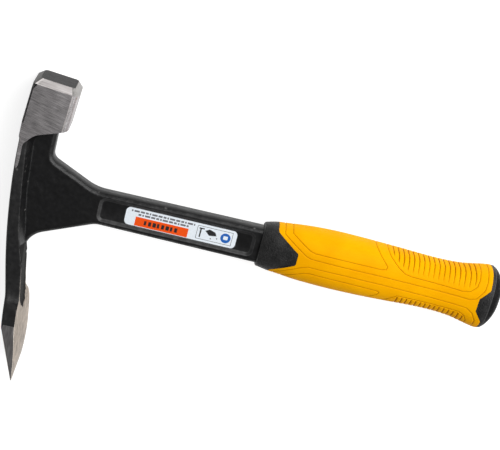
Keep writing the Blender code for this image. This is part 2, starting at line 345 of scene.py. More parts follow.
# Ground inner face of the blade: y, x.
GROUND_STATIONS = (
    (TIP_Y, TIP_X + TIP_THICKNESS),
    (-102.0, 10.85),
    (-91.0, 10.0),
    (-84.0, 9.05),
    (-78.0, 8.24),
    (-71.7, 7.45),
    (-67.4, 6.7),
    (-64.0, 5.95),
    (-60.0, 5.2),
    (-55.0, 4.5),
    (-50.0, 3.8),
    (-45.0, 3.1),
    (-40.0, 2.5),
)

# Lean of the ground inner face across the blade: y, rise in x per unit of -z.
TWIST_STATIONS = (
    (TIP_Y, 0.005),
    (-102.0, 0.03),
    (-91.0, 0.06),
    (-78.0, 0.08),
    (-71.7, 0.07),
    (-67.4, 0.053),
    (-64.0, 0.02),
    (-60.0, 0.0),
    (-40.0, 0.0),
)

# Half width of the painted spike left on the blade's inner face: y, z.
SPIKE_STATIONS = (
    (-113.0, -6.0),
    (-76.0, -4.0),
    (-71.5, 0.0),
    (-69.0, 3.4),
    (-66.0, 7.0),
    (-63.0, 9.4),
    (-59.0, 10.3),
    (-55.0, 10.4),
    (-50.0, 10.3),
    (-43.0, 10.4),
    (-40.0, 12.0),
)
SPIKE_SLOPE = 0.35
WORN_FROM_Y = -51.0


def crown_x(y):
    """Outer surface of the finished head at one station along Y."""
    arc_end = CROWN_X + (FLARE_Y - CROWN_Y) ** 2 / (2 * CROWN_RADIUS)
    bevel_start = arc_end + (FLARE_Y - BEVEL_Y) * STRAIGHT_SLOPE
    if y >= FLARE_Y:
        return CROWN_X + (y - CROWN_Y) ** 2 / (2 * CROWN_RADIUS)
    if y >= BEVEL_Y:
        return arc_end + (FLARE_Y - y) * STRAIGHT_SLOPE
    share = (BEVEL_Y - y) / (BEVEL_Y - TIP_Y)
    return bevel_start + (TIP_X - bevel_start) * share


def blank_crown_x(y):
    """Outer surface before the bevel is ground: it runs straight on past the bevel's start."""
    if y >= BEVEL_Y:
        return crown_x(y)
    return crown_x(BEVEL_Y) + (BEVEL_Y - y) * STRAIGHT_SLOPE


def blade_twist(y):
    return curve_through(TWIST_STATIONS, y)[0]


def head_ring(y):
    """Section of the head bar before grinding, in the XZ plane."""
    rim_x, foot_x, crown_half, rim_half, foot_half = curve_through(HEAD_STATIONS, y)
    spike_half = curve_through(SPIKE_STATIONS, y)[0]
    outer = blank_crown_x(y)
    blade = y < -40.0
    if blade:
        ground = curve_through(GROUND_STATIONS, y)[0]
    upper = []
    for step in range(6):
        z = foot_half * step / 5
        x = foot_x
        if blade:
            x = ground + min(max((z - spike_half) * SPIKE_SLOPE, -0.6), 0.5)
        upper.append((x, z))
    if blade:
        rim_x = upper[-1][0] - 0.4
    middle_half = (crown_half + rim_half) / 2
    corner = min(1.3, (rim_x - outer) * 0.35)
    rim_x = max(rim_x, outer + 0.5)
    upper += [
        (rim_x, rim_half),
        ((rim_x + outer) / 2, middle_half),
        (outer + corner, crown_half),
        (outer + corner * 0.3, crown_half - corner * 0.7),
        (outer + 0.1, crown_half * 0.6),
        (outer, 0.0),
    ]
    lower = [(x, -z) for x, z in reversed(upper[1:-1])]
    middle = (rim_x + outer) / 2 + 0.01
    twist = blade_twist(y)
    return [(x - twist * z if x > middle else x, y, z) for x, z in upper + lower]


def square_ring(low, high, half_z, corners, burr=0.0, corner_steps=5):
    """Rounded rectangle in (x, z), from the +x side round by +z, with (+x, -x) corner radii.

    A burr turns the first bit of each corner by the z faces into a flat of that width.
    """
    ring = []
    right, left = corners
    centres = (
        (high - right, half_z - right, 0, right),
        (low + left, half_z - left, 90, left),
        (low + left, -half_z + left, 180, left),
        (high - right, -half_z + right, 270, right),
    )
    for quarter, (x, z, start, corner) in enumerate(centres):
        for step in range(corner_steps + 1):
            share = step / corner_steps
            if burr and step == 1 and quarter in (1, 3):
                share = burr / corner
            if burr and step == corner_steps - 1 and quarter in (0, 2):
                share = 1 - burr / corner
            angle = math.radians(start + 90 * share)
            ring.append((x + corner * math.cos(angle), z + corner * math.sin(angle)))
    return ring


def poll_ring(along, half_x, half_z, corners, burr=0.0):
    """Square section of the poll, a distance along its leaning axis from the face."""
    across = Vector((math.cos(POLL_LEAN), -math.sin(POLL_LEAN), 0))
    axis = Vector((math.sin(POLL_LEAN), math.cos(POLL_LEAN), 0))
    face = Vector((POLL_FACE_X, POLL_FACE_Y, 0))
    ring = []
    for u, z in square_ring(-half_x, half_x, half_z, corners, burr):
        ring.append(face - axis * along + across * u + Vector((0, 0, z)))
    return ring


def poll_blank(materials):
    """Poll before grinding. Its underside rises towards the handle."""
    over = 0.5
    base = (POLL_FACE_Y - POLL_BASE_Y) / math.cos(POLL_LEAN)
    corners = (POLL_CORNER, POLL_CROWN_CORNER)
    rings = [
        poll_ring(base, POLL_HALF, POLL_HALF + over, corners),
        poll_ring(base - 3.5, POLL_HALF + 0.2, POLL_HALF + over, corners),
        poll_ring(-1.0, POLL_HALF + over, POLL_HALF + over, corners),
    ]
    for point in rings[0]:
        point.y = POLL_BASE_Y + (point.x - UNDERSIDE_X) * UNDERSIDE_SLOPE
    return loft('poll_blank', rings, materials)


def grinding_envelope(materials):
    """What the grinding leaves: a solid far outside the forging except on the ground planes."""
    far = 60.0
    rings = []
    kinds = []

    def add(y, low, high, half_z, kind, corner=0.01):
        corner = min(corner, (high - low) * 0.4)
        twist = blade_twist(y)
        ring = square_ring(low, high, half_z, (corner, corner))
        if kind == 'blade':
            middle = (low + high) / 2
            ring = [(x - twist * z if x > middle else x, z) for x, z in ring]
        rings.append([(x, y, z) for x, z in ring])
        kinds.append(kind)

    for y in np.linspace(TIP_Y + TIP_GAP, BEVEL_Y, 12):
        add(y, crown_x(y), curve_through(GROUND_STATIONS, y)[0], BLADE_HALF, 'blade', BLADE_EDGE_WIDTH)
    bevel_slope = (TIP_X - crown_x(BEVEL_Y)) / (BEVEL_Y - TIP_Y)
    for y in (-70.0, -65.0, -61.0):
        bevel = crown_x(BEVEL_Y) - (y - BEVEL_Y) * bevel_slope
        add(y, bevel, curve_through(GROUND_STATIONS, y)[0], BLADE_HALF, 'blade', BLADE_EDGE_WIDTH)
    for y in (-60.9, -55.0, -50.0, -45.0, -41.0):
        add(y, -far, curve_through(GROUND_STATIONS, y)[0], far, 'blade')
    add(-40.9, -far, 300.0, far, 'open')
    add(11.0, -far, 300.0, far, 'open')
    add(11.1, -far, 300.0, POLL_HALF, 'strip')
    add(POLL_BASE_Y - 1.5, -far, 300.0, POLL_HALF, 'strip')
    length = (POLL_FACE_Y - POLL_BASE_Y) / math.cos(POLL_LEAN)
    low_corners = (POLL_CORNER, POLL_CROWN_CORNER)
    top_corners = (POLL_CORNER, POLL_TOP_CORNER)
    sections = (
        (length, low_corners),
        (POLL_CHAMFER + POLL_CROWN_END, low_corners),
        (POLL_CHAMFER, top_corners),
    )
    for along, corners in sections:
        rings.append(poll_ring(along, POLL_HALF, POLL_HALF, corners, POLL_BURR))
        kinds.append('poll')
    rings.append(poll_ring(0.0, POLL_FACE_HALF, POLL_FACE_HALF, (POLL_FACE_CORNER, POLL_TOP_CORNER)))
    kinds.append('chamfer')

    def slot_of(band, side):
        if band < 0:
            return BLADE_BEVEL
        if band >= len(rings):
            return FACE
        kind = kinds[band]
        quarter, step = divmod(side, 6)
        flat = step == 5
        if kind == 'blade' and flat:
            return (BLADE_SIDE, BLADE_BEVEL, BLADE_SIDE, BLADE_INNER)[quarter]
        # The blade's narrow corner bevels are real; their brighter steel is a painted highlight along the
        # edges.
        if kind == 'blade':
            return BLADE_EDGE_HIGHLIGHT
        if kind == 'strip':
            return POLL_SIDE
        if kind == 'poll' and kinds[band + 1] == 'chamfer':
            if flat:
                return (NEAR_CHAMFER, SIDE_CHAMFER, NEAR_CHAMFER, POLL_END)[quarter]
            if quarter == 1 and step < 2 or quarter == 2 and step > 2:
                return NEAR_CHAMFER
            return (POLL_END, SIDE_CHAMFER, SIDE_CHAMFER, POLL_END)[quarter]
        if kind == 'poll':
            if flat:
                return (POLL_SIDE, PAINT, POLL_SIDE, POLL_END)[quarter]
            if quarter in (1, 2):
                return PAINT
            # The burr flat takes the bright near-chamfer steel: a real narrow flat, painted as a highlight
            # line along the poll's corner.
            by_side = step == (4 if quarter == 0 else 0)
            return NEAR_CHAMFER if by_side else POLL_SIDE
        return PAINT

    return loft('grinding_envelope', rings, materials, slot_of)


def plate_outline():
    """Web and shaft seen from the side, counter-clockwise."""
    return round_corners((
        (-7.0, 46.0, 0),
        (-7.0, -31.0, 0),
        (0.8, -40.0, 0),
        (2.6, -25.3, 14.0),
        (37.6, -SHAFT_HALF_AT_WEB, 12.0),
        (SHOULDER_X, -SHAFT_HALF_AT_GRIP, 0),
        (SHOULDER_X, SHAFT_HALF_AT_GRIP, 0),
        (34.0, SHAFT_HALF_AT_WEB, 25.0),
        (NECK_X, 22.2, 5.0),
        (NECK_X, 46.0, 0),
    ), 14)


def cut_pockets(body, materials):
    """One shallow pocket in each broad side, its wall rounded at the foot and at the top."""
    outline = rounded_rectangle(POCKET_START, POCKET_END, POCKET_HALF, POCKET_CORNER)
    floor = PLATE_HALF - POCKET_DEPTH
    layers = [(floor + height, edge) for height, edge in POCKET_PROFILE]

    # The walls take a lighter enamel: a painted highlight for the soft light that their slopes catch.
    def slot_of(band, side):
        return WALL_PAINTED_HIGHLIGHT if 0 <= band < len(layers) - 1 else PAINT

    for side in (1, -1):
        cut = sorted((side * z, edge) for z, edge in layers)
        combine(body, slab('pocket', outline, cut, materials, slot_of), 'DIFFERENCE')


def build_forging(materials):
    steps = np.arange(-113.0, 58.01, 1.5)
    body = loft('forged_steel', [head_ring(y) for y in steps], materials)
    combine(body, poll_blank(materials), 'UNION')
    combine(body, slab('plate', plate_outline(), plate_layers(PLATE_HALF), materials), 'UNION')
    remesh = body.modifiers.new("Remesh", 'REMESH')
    remesh.mode = 'VOXEL'
    remesh.voxel_size = 0.4 * MM
    smooth = body.modifiers.new("Smooth", 'SMOOTH')
    smooth.factor = 0.5
    smooth.iterations = 4
    bake_modifiers(body)
    cut_pockets(body, materials)
    combine(body, grinding_envelope(materials), 'INTERSECT')
    mark_blade_faces(body)
    mark_head_paint(body)
    set_sharp(body, 32)
    return body


def mark_blade_faces(body):
    """Dull skin on the inner face above its ground part, and a worn line along its edge."""
    for face in body.data.polygons:
        y = face.center.y / MM
        x = face.center.x / MM
        slot = face.material_index
        if slot == BLADE_INNER and y > WORN_FROM_Y:
            face.material_index = WORN_EDGE
        elif slot == PAINT and -72.0 < y < -30.0 and x < 9.0 and face.normal.x > 0.6:
            face.material_index = SCALE


def mark_head_paint(body):
    """The head's two broad sides carry a duller coat than the rest."""
    for face in body.data.polygons:
        high = abs(face.center.z) / MM > 8.5
        if face.material_index == PAINT and high and abs(face.normal.z) > 0.6:
            face.material_index = HEAD_PAINT


# ---------------------------------------------------------------- grip

GRIP_STATIONS = (
    (130.5, 12.9, -12.7, 8.0),
    (134.0, 13.8, -13.2, 9.2),
    (138.0, 14.6, -13.8, 10.2),
    (145.0, 15.3, -14.3, 11.4),
    (152.0, 16.0, -15.0, 12.3),
    (160.0, 16.6, -15.4, 13.0),
    (172.0, 17.0, -15.7, 13.7),
    (184.0, 16.9, -15.7, 13.8),
    (196.0, 16.6, -15.5, 13.5),
    (210.0, 16.2, -15.0, 12.9),
    (224.0, 15.6, -14.4, 12.4),
    (236.0, 15.4, -14.4, 12.3),
    (246.0, 15.9, -15.2, 12.8),
    (253.0, 17.0, -16.6, 13.6),
    (258.6, 18.1, -17.8, 14.3),
    (263.0, 18.6, -18.3, 14.75),
    (266.0, 18.0, -17.0, 14.25),
    (268.6, 15.8, -13.0, 13.1),
    (270.4, 12.6, -8.4, 10.6),
    (271.4, 8.0, -3.4, 6.8),
)

# Engraved lines of the cover, as (x, y) on the side of the grip.
UPPER_OUTER_LINE = (
    (142.0, 18.0), (142.3, 12.0), (156.5, 3.4), (159.5, 2.5), (200.0, 2.2),
    (227.0, 1.4), (253.0, 1.0), (256.6, 2.4), (260.0, 8.0), (260.6, 12.5), (260.6, 20.0),
)
UPPER_PANEL_LINE = (
    (146.4, 18.0), (146.6, 13.4), (158.0, 6.9), (161.0, 6.2), (180.0, 6.3), (199.5, 6.1),
    (202.3, 6.7), (202.6, 8.4), (198.0, 13.0), (193.4, 18.0),
)
RIB_PANEL_LINE = (
    (200.4, 18.0), (203.3, 14.0), (209.3, 9.0), (213.6, 6.5), (217.4, 5.8), (247.8, 4.6),
    (252.2, 5.6), (255.4, 9.0), (256.1, 13.0), (256.3, 20.0),
)
LOWER_OUTER_LINE = (
    (141.0, -18.0), (141.6, -11.8), (155.5, -3.9), (159.0, -2.6), (180.6, -2.4), (201.3, -2.7),
    (225.3, -3.6), (249.4, -4.3), (253.0, -4.6), (256.8, -6.9), (259.6, -11.2), (260.2, -20.0),
)
LOWER_PANEL_LINE = (
    (145.6, -18.0), (146.0, -13.2), (157.6, -7.2), (161.0, -6.5), (181.9, -6.6), (200.6, -7.2),
    (202.2, -8.0), (201.4, -9.6), (196.0, -14.0), (194.0, -18.0),
)
LOWER_RIB_LINE = (
    (204.0, -18.0), (206.0, -13.4), (210.0, -9.8), (213.0, -7.6), (233.7, -7.8), (249.6, -8.2),
    (253.0, -9.6), (255.2, -13.0), (255.6, -20.0),
)
RIB_PITCH = 3.03
RIB_FIRST = 205.4
RIB_COUNT = 17
LOWER_RIB_PITCH = 2.8
LOWER_RIB_FIRST = 213.3
LOWER_RIB_COUNT = 15
LOWER_RIB_HALF = 0.36
LOWER_RIB_DEPTH = 0.42
LINE_DEPTH = 0.28
LINE_HALF = 0.27
RIB_DEPTH = 0.36
RIB_HALF = 0.28
BEAD_X = 265.1
BEAD_HALF = 0.32
BEAD_HEIGHT = 0.16
LIP_FACE = 0.05                # the lip's lighter band, a painted highlight, starts this far behind the collar's face

# Slots of the black moulding's lighter lip and bead, a painted highlight, and of its darker end face; the
# rest of it is slot 0.
CORE_PAINTED_HIGHLIGHT = 1
CORE_END = 2


def distance_to_line(points, line):
    """Distance of each (x, y) point to a polyline."""
    best = np.full(len(points), 1e9)
    for start, end in zip(line, line[1:]):
        a = np.array(start)
        ab = np.array(end) - a
        share = np.clip(((points - a) @ ab) / (ab @ ab), 0, 1)
        best = np.minimum(best, np.linalg.norm(points - a - share[:, None] * ab, axis=1))
    return best


def groove(distance, half, depth):
    return depth * np.exp(-(distance / half) ** 4)


def line_height(x, line):
    """y of a panel's border at x, used to end the ribs inside it."""
    xs = [p[0] for p in line]
    ys = [p[1] for p in line]
    return np.interp(x, xs, ys)


def smooth_step(value, start, end):
    t = np.clip((value - start) / (end - start), 0, 1)
    return t * t * (3 - 2 * t)


def cover_depth(points):
    """Depth of the cover's engraving at each (x, y) on its side."""
    depth = np.zeros(len(points))
    for line in (UPPER_OUTER_LINE, UPPER_PANEL_LINE, RIB_PANEL_LINE,
                 LOWER_OUTER_LINE, LOWER_PANEL_LINE, LOWER_RIB_LINE):
        depth = np.maximum(depth, groove(distance_to_line(points, line), LINE_HALF, LINE_DEPTH))
    x, y = points[:, 0], points[:, 1]
    lean = 0.5 * smooth_step(y, 14.0, 17.0)
    for i in range(RIB_COUNT):
        place = RIB_FIRST + RIB_PITCH * i
        inside = smooth_step(y - line_height(x, RIB_PANEL_LINE), 1.3, 3.0)
        rib = groove(np.abs(x + lean - place), RIB_HALF, RIB_DEPTH)
        rib *= inside * (x < 254.8) * (y > 0) * (0.45 + 0.8 * smooth_step(y, 6.0, 15.0))
        depth = np.maximum(depth, rib)
    for i in range(LOWER_RIB_COUNT):
        place = LOWER_RIB_FIRST + LOWER_RIB_PITCH * i
        inside = smooth_step(line_height(x, LOWER_RIB_LINE) - y, 0.5, 1.2)
        rib = groove(np.abs(x - place), LOWER_RIB_HALF, LOWER_RIB_DEPTH)
        rib *= inside * (x < 254.0) * (x > 206.5) * (y < 0)
        depth = np.maximum(depth, rib)
    return depth


def ring_angles(fine=0.011, coarse=0.028):
    """Angles round the grip, closer together on its two broad sides."""
    angles = [0.0]
    while angles[-1] < 2 * math.pi:
        side = abs(math.sin(angles[-1]))
        angles.append(angles[-1] + coarse + (fine - coarse) * smooth_step(side, 0.3, 0.7))
    scale = 2 * math.pi / angles[-1]
    return np.array(angles[:-1]) * scale


def grip_surface(x, angles, shrink=0.0):
    """Ring of the grip at x and its outward direction, as two arrays."""
    top, bottom, thick = curve_through(GRIP_STATIONS, x)
    half_high = (top - bottom) / 2 - shrink
    half_wide = thick - shrink
    power = 2 / GRIP_POWER
    c, s = np.cos(angles), np.sin(angles)
    y = (top + bottom) / 2 + half_high * np.sign(c) * np.abs(c) ** power
    z = half_wide * np.sign(s) * np.abs(s) ** power
    normal_y = np.sign(c) * np.abs(c) ** (2 - power) / half_high
    normal_z = np.sign(s) * np.abs(s) ** (2 - power) / half_wide
    size = np.hypot(normal_y, normal_z)
    ring = np.column_stack((np.full(len(angles), x), y, z))
    return ring, np.column_stack((np.zeros(len(angles)), normal_y / size, normal_z / size))


def grip_loft(name, materials, stations, angles, shrink=0.0, engrave=False, bead=0.0):
    """Loft along the grip. The bead is a narrow raised line round the butt."""
    rings = []
    for x in stations:
        raised = bead * math.exp(-((x - BEAD_X) / BEAD_HALF) ** 2)
        chamfer = max(0.0, COLLAR_START + LIP - x)
        ring, outward = grip_surface(x, angles, shrink - raised + chamfer)
        if engrave:
            ring = ring - outward * cover_depth(ring[:, :2])[:, None]
        rings.append(ring)
    return loft(name, rings, materials)


def zone(name, materials, outline, grow):
    """Tall prism over a region of the grip's side view."""
    points = inset([Vector(p) for p in outline], -grow)
    return slab(name, points, ((-30.0, 0), (30.0, 0)), materials)


COLLAR_OUTLINE = round_corners((
    (120.0, -30.0, 0),
    (COVER_START, -30.0, 0),
    (COVER_START, -11.4, 2.0),
    (152.1, -3.6, 1.6),
    (152.1, 3.4, 1.6),
    (COVER_START, 12.2, 2.0),
    (COVER_START, 30.0, 0),
    (120.0, 30.0, 0),
))
BUTT_OUTLINE = round_corners((
    (280.0, -30.0, 0),
    (280.0, 30.0, 0),
    (COVER_END, 30.0, 0),
    (COVER_END + 0.2, 9.0, 2.0),
    (258.4, 2.8, 1.5),
    (258.4, -4.8, 1.5),
    (COVER_END, -10.8, 2.0),
    (COVER_END, -30.0, 0),
))


def mark_engraving(cover):
    """Stores how deep each point of the cover lies in its engraving; the thin lines reach 1."""
    count = len(cover.data.vertices)
    places = np.empty(count * 3)
    cover.data.vertices.foreach_get("co", places)
    places = places.reshape(count, 3) / MM
    depth = cover_depth(places[:, :2]) / LINE_DEPTH
    layer = cover.data.attributes.new("engraving", 'FLOAT', 'POINT')
    layer.data.foreach_set("value", depth)


def build_cover(materials):
    angles = ring_angles()
    stations = np.arange(136.0, 265.01, 0.3)
    cover = grip_loft('grip_yellow_cover', materials, stations, angles, 0.0, True)
    coarse = ring_angles(0.1, 0.1)
    bore = grip_loft('bore', materials, np.arange(134.0, 267.01, 3.0), coarse, COVER_WALL)
    combine(cover, bore, 'DIFFERENCE')
    combine(cover, zone('notch', materials, COLLAR_OUTLINE, SEAM), 'DIFFERENCE')
    combine(cover, zone('notch', materials, BUTT_OUTLINE, SEAM), 'DIFFERENCE')
    mark_engraving(cover)
    set_sharp(cover, 50)
    return cover


def mark_core_edges(core):
    """The collar's lip and the bead round the butt are lighter, a painted highlight; the end face is darker
    and less glossy.
    """
    for face in core.data.polygons:
        x = face.center.x / MM
        front_lip = COLLAR_START + LIP_FACE < x < COLLAR_START + LIP
        if front_lip or abs(x - BEAD_X) < BEAD_HALF * 1.1:
            face.material_index = CORE_PAINTED_HIGHLIGHT
        elif x > BEAD_X:
            face.material_index = CORE_END


def build_core(materials):
    """Black moulding: collar and butt at full size, joined by the sleeve under the cover."""
    angles = ring_angles(0.03, 0.04)
    sleeve = np.arange(133.0, 267.01, 3.0)
    core = grip_loft('grip_black_core', materials, sleeve, angles, COVER_WALL + 0.2)
    lip_stations = (COLLAR_START, COLLAR_START + LIP)
    collar_stations = np.concatenate((lip_stations, np.arange(131.6, 154.01, 0.6)))
    collar = grip_loft('collar', materials, collar_stations, angles)
    combine(collar, zone('collar_zone', materials, COLLAR_OUTLINE, -SEAM), 'INTERSECT')
    combine(core, collar, 'UNION')
    butt_stations = np.concatenate((np.arange(256.0, 263.9, 0.6), np.arange(264.0, 271.41, 0.15)))
    butt = grip_loft('butt', materials, butt_stations, angles, bead=BEAD_HEIGHT)
    combine(butt, zone('butt_zone', materials, BUTT_OUTLINE, -SEAM), 'INTERSECT')
    combine(core, butt, 'UNION')
    half = SHAFT_HALF_AT_GRIP + 0.05
    socket = slab('socket', [
        Vector((120.0, -half)),
        Vector((SHOULDER_X + 0.3, -half)),
        Vector((SHOULDER_X + 0.3, half)),
        Vector((120.0, half)),
    ], plate_layers(PLATE_HALF + 0.05), materials)
    combine(core, socket, 'DIFFERENCE')
    mark_core_edges(core)
    set_sharp(core, 35)
    return core


# ---------------------------------------------------------------- label

FILM, INK_ORANGE, INK_BLACK, INK_BLUE, INK_GREY = range(5)
FILM_TOP = PLATE_HALF - POCKET_DEPTH + 0.14
INK_THICKNESS = 0.02


def build_label(materials):
    outline = rounded_rectangle(LABEL_START, LABEL_END, LABEL_HALF, LABEL_CORNER, 12)
    return slab('label_film', outline, ((FILM_TOP - 0.1, 0.0), (FILM_TOP, 0.03)), materials)


def ink(shapes, outline, slot, level=0):
    """Adds one printed shape to the list, as a thin slab on the film or on other ink."""
    shapes.append(([Vector(p) for p in outline], slot, level))


def bar(start, end, low, high):
    return [(start, low), (end, low), (end, high), (start, high)]


def disc(x, y, radius, steps=36):
    angles = [2 * math.pi * i / steps for i in range(steps)]
    return [(x + radius * math.cos(a), y + radius * math.sin(a)) for a in angles]


def print_shapes():
    """Plain bars and marks in place of the label's wording."""
    shapes = []
    ink(shapes, bar(58.8, 89.2, -4.95, 0.4), INK_ORANGE)
    for i in range(8):
        start = 64.0 + 2.5 * i
        ink(shapes, bar(start, start + 1.3 + 0.3 * (i % 3), -3.6, -1.0), INK_BLACK, 1)
    for row, (start, end, low) in enumerate(((55.8, 92.2, 3.1), (60.0, 88.8, 1.3))):
        x = start
        count = 0
        while x < end:
            length = 0.9 + 0.7 * ((count * 3 + row) % 4)
            ink(shapes, bar(x, min(x + length, end), low, low + 1.05), INK_GREY)
            x += length + 0.6
            count += 1
    left, right, low, high = 93.9, 114.4, -4.0, 4.0
    rim = 0.22
    ink(shapes, bar(left, right, low, low + rim), INK_BLACK)
    ink(shapes, bar(left, right, high - rim, high), INK_BLACK)
    ink(shapes, bar(left, left + rim, low + rim, high - rim), INK_BLACK)
    ink(shapes, bar(right - rim, right, low + rim, high - rim), INK_BLACK)
    ink(shapes, disc(110.6, -0.1, 2.9), INK_BLUE)
    ink(shapes, rounded_rectangle(109.3, 111.9, 1.1, 0.5), FILM, 1)
    ink(shapes, bar(95.6, 96.4, -2.8, 2.2), INK_BLACK)
    ink(shapes, bar(95.0, 98.0, 2.2, 2.9), INK_BLACK)
    ink(shapes, [(98.6, 1.6), (101.2, -0.8), (105.4, -0.2), (104.4, 1.8), (100.9, 2.9)], INK_BLACK)
    ink(shapes, disc(102.4, -2.4, 0.35, 12), INK_BLACK)
    ink(shapes, disc(105.8, -1.6, 0.35, 12), INK_BLACK)
    return shapes


def build_print(materials):
    points = []
    faces = []
    slots = []
    for outline, slot, level in print_shapes():
        low = FILM_TOP + 0.005 + level * INK_THICKNESS
        base = len(points)
        count = len(outline)
        for z in (low, low + INK_THICKNESS):
            points += [(p.x if hasattr(p, "x") else p[0], p[1], z) for p in outline]
        faces.append(tuple(base + i for i in reversed(range(count))))
        faces.append(tuple(base + count + i for i in range(count)))
        for i in range(count):
            j = (i + 1) % count
            faces.append((base + i, base + j, base + count + j, base + count + i))
        slots += [slot] * (count + 2)
    item = mesh_object('label_print', points, faces, slots, materials)
    fix_normals(item)
    return item


# ---------------------------------------------------------------- materials

class Recipe:
    """Node tree of one material, with short calls for the nodes used here."""

    def __init__(self, name, metallic=0.0, specular=0.5):
        self.material = bpy.data.materials.new(name)
        self.material.use_nodes = True
        self.tree = self.material.node_tree
        self.shader = self.tree.nodes["Principled BSDF"]
        self.shader.inputs["Metallic"].default_value = metallic
        self.shader.inputs["Specular IOR Level"].default_value = specular
        self.object_place = self.add("ShaderNodeTexCoord").outputs["Object"]

    def add(self, kind, **settings):
        node = self.tree.nodes.new(kind)
        for key, value in settings.items():
            setattr(node, key, value)
        return node

    def feed(self, socket, value):
        """Links a socket's output, or sets a number or colour."""
        if isinstance(value, bpy.types.NodeSocket):
            self.tree.links.new(value, socket)
        elif isinstance(value, tuple) and len(value) == 3 and socket.type == 'RGBA':
            socket.default_value = (*value, 1.0)
        else:
            socket.default_value = value

    def set(self, name, value):
        self.feed(self.shader.inputs[name], value)

    def place(self, stretch=(1.0, 1.0, 1.0), turn=0.0):
        """Object coordinates, turned about Z by some degrees and then stretched."""
        turned = self.add("ShaderNodeVectorRotate", rotation_type='Z_AXIS')
        self.feed(turned.inputs["Vector"], self.object_place)
        turned.inputs["Angle"].default_value = math.radians(turn)
        scaled = self.add("ShaderNodeVectorMath", operation='MULTIPLY')
        self.feed(scaled.inputs[0], turned.outputs[0])
        scaled.inputs[1].default_value = stretch
        return scaled.outputs[0]

    def noise(self, scale, detail=2.0, place=None):
        node = self.add("ShaderNodeTexNoise")
        self.feed(node.inputs["Vector"], place or self.object_place)
        node.inputs["Scale"].default_value = scale
        node.inputs["Detail"].default_value = detail
        return node.outputs["Fac"]

    def remap(self, value, low, high, to_low=0.0, to_high=1.0):
        node = self.add("ShaderNodeMapRange", clamp=True)
        self.feed(node.inputs["Value"], value)
        for key, number in zip(("From Min", "From Max", "To Min", "To Max"),
                               (low, high, to_low, to_high)):
            node.inputs[key].default_value = number
        return node.outputs["Result"]

    def maths(self, operation, first, second):
        node = self.add("ShaderNodeMath", operation=operation)
        self.feed(node.inputs[0], first)
        self.feed(node.inputs[1], second)
        return node.outputs[0]

    def mix(self, factor, first, second):
        node = self.add("ShaderNodeMix", data_type='RGBA')
        self.feed(node.inputs["Factor"], factor)
        self.feed(node.inputs[6], first)
        self.feed(node.inputs[7], second)
        return node.outputs[2]

    def bump(self, height, distance, strength=1.0, below=None):
        node = self.add("ShaderNodeBump")
        self.feed(node.inputs["Height"], height)
        node.inputs["Distance"].default_value = distance
        node.inputs["Strength"].default_value = strength
        if below is not None:
            self.feed(node.inputs["Normal"], below)
        return node.outputs["Normal"]

    def pointiness(self):
        return self.add("ShaderNodeNewGeometry").outputs["Pointiness"]


def enamel(name, dark, light, dull):
    """Black enamel over a forged surface: slight waves, orange peel, edges lighter in patches, partly worn
    paint and partly painted highlight.
    """
    recipe = Recipe(name, specular=0.38)
    waves = recipe.noise(140.0, 2.0)
    peel = recipe.noise(1300.0, 3.0)
    patches = recipe.noise(420.0, 3.0)
    edge = recipe.remap(recipe.pointiness(), 0.515, 0.575)
    # Convex edges lighter in patches: partly worn paint, partly painted highlight.
    worn_and_highlight_edge = recipe.maths('MULTIPLY', edge, recipe.remap(patches, 0.42, 0.62))
    shade = recipe.mix(recipe.remap(patches, 0.35, 0.7), dark, light)
    recipe.set("Base Color", recipe.mix(worn_and_highlight_edge, shade, (0.11, 0.105, 0.1)))
    recipe.set("Roughness", recipe.remap(patches, 0.3, 0.7, 0.32 + dull, 0.42 + dull))
    wavy = recipe.bump(waves, 0.0012, 0.5)
    recipe.set("Normal", recipe.bump(peel, 0.00012, 0.5, wavy))
    return recipe.material


def ground_steel(name, dark, light, roughness, along, turn=0.0, lines=3200.0, glance=1.0):
    """Steel ground on a belt; the lines run along one axis, turned about Z.

    Glance is how strongly it reflects at a flat angle; below 1 it is painted shade, dimming the bright floor
    that the steel reflects there.
    """
    recipe = Recipe(name, metallic=1.0)
    recipe.set("Specular Tint", (glance, glance, glance))
    stretch = tuple(0.03 if axis == along else 1.0 for axis in "XYZ")
    place = recipe.place(stretch, turn)
    fine = recipe.noise(lines, 3.0, place)
    broad = recipe.noise(lines * 0.35, 2.0, place)
    cloud = recipe.noise(160.0, 3.0)
    fine_part = recipe.maths('MULTIPLY', fine, 0.6)
    broad_part = recipe.maths('MULTIPLY', broad, 0.4)
    tone = recipe.maths('ADD', fine_part, broad_part)
    tone = recipe.maths('ADD', tone, recipe.maths('MULTIPLY', cloud, 0.25))
    recipe.set("Base Color", recipe.mix(recipe.remap(tone, 0.45, 0.8), dark, light))
    recipe.set("Roughness", recipe.remap(fine, 0.3, 0.7, roughness - 0.08, roughness + 0.1))
    recipe.set("Normal", recipe.bump(tone, 0.00006, 0.6))
    return recipe.material


def yellow_rubber():
    """Soft moulded cover: fine matt grain; painted shade darkens the engraved lines and ribs, the deeper ones
    more.
    """
    recipe = Recipe('yellow_cover', specular=0.02)
    cloud = recipe.noise(70.0, 3.0)
    grain = recipe.noise(2600.0, 2.0)
    body = recipe.mix(recipe.remap(cloud, 0.35, 0.65), (0.93, 0.405, 0.0004), (0.98, 0.45, 0.0006))
    marks = recipe.add("ShaderNodeAttribute", attribute_name="engraving").outputs["Fac"]
    # Painted shade in the grooves, growing with their depth.
    line = recipe.mix(recipe.remap(marks, 0.3, 1.0), body, (0.56, 0.22, 0.001))
    recipe.set("Base Color", recipe.mix(recipe.remap(marks, 1.05, 1.7), line, (0.4, 0.13, 0.001)))
    recipe.set("Roughness", recipe.remap(grain, 0.3, 0.7, 0.46, 0.6))
    recipe.set("Normal", recipe.bump(grain, 0.00008, 0.35))
    return recipe.material


